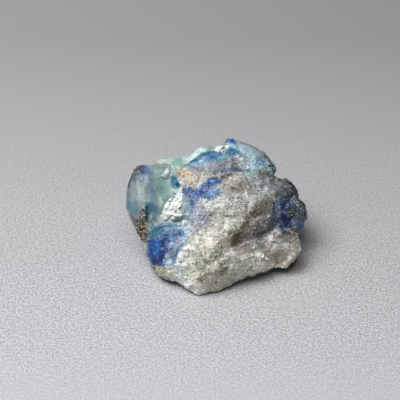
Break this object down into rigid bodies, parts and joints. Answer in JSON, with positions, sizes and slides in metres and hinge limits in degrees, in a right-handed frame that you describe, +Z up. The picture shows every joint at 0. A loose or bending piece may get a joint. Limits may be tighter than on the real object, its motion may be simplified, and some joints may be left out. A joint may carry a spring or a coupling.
{
  "type": "afghanite specimen",
  "caption": "Small rough piece of afghanite: glassy pale teal and deep blue mineral grown in a sugary grey-white calcite matrix, resting on a flat underside",
  "frame": {"origin": "on the ground, under the middle of the stone's bounding box", "axes": "+Z is up as the stone rests, +X is to the right along its longest extent, and -Y is the side of the broken face, which leans back 52 degrees from upright"},
  "size_m": [0.0326, 0.0268, 0.0164],
  "materials": {
    "calcite_matrix": "rough, sugary broken rock with glassy blue zones"
  },
  "bodies": {
    "root": {"afghanite_stone": "calcite_matrix"}
  },
  "joints": []
}
